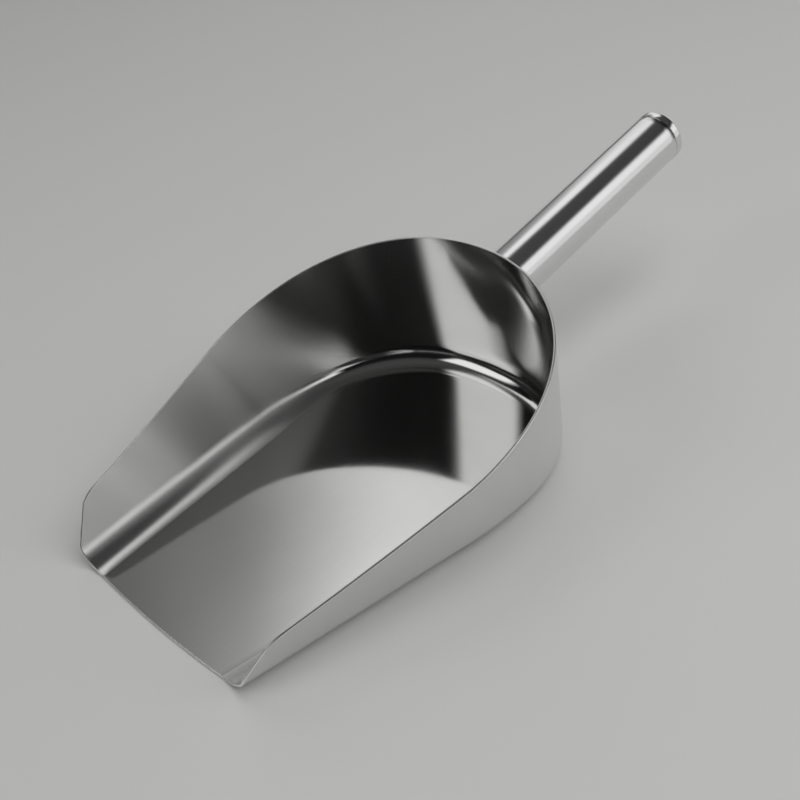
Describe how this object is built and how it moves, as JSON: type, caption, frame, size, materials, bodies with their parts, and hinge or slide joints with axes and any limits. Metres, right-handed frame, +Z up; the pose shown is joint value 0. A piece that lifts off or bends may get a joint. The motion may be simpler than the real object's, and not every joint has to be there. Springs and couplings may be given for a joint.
{
  "type": "ice scoop",
  "caption": "Stainless-steel ice scoop: a flat-bottomed pressed pan with a rounded rear wall, flared sides and an open mouth, and a round tubular handle with an end cap.",
  "frame": {"origin": "on the pan's flat base, on its centre line, 100 mm behind the lip", "axes": "+Z up, square to the flat base; +Y from the mouth towards the handle; +X to the right seen from the mouth side, looking along +Y"},
  "size_m": [0.1598, 0.322, 0.0866],
  "materials": {
    "pan_steel": "polished to a soft mirror",
    "tube_steel": "polished, with faint lines along the tube",
    "weld_steel": "dressed weld bead, satin",
    "cap_steel": "polished"
  },
  "bodies": {
    "root": {"scoop_pan": "pan_steel", "handle_tube": "tube_steel", "handle_weld": "weld_steel", "end_cap": "cap_steel"}
  },
  "joints": []
}
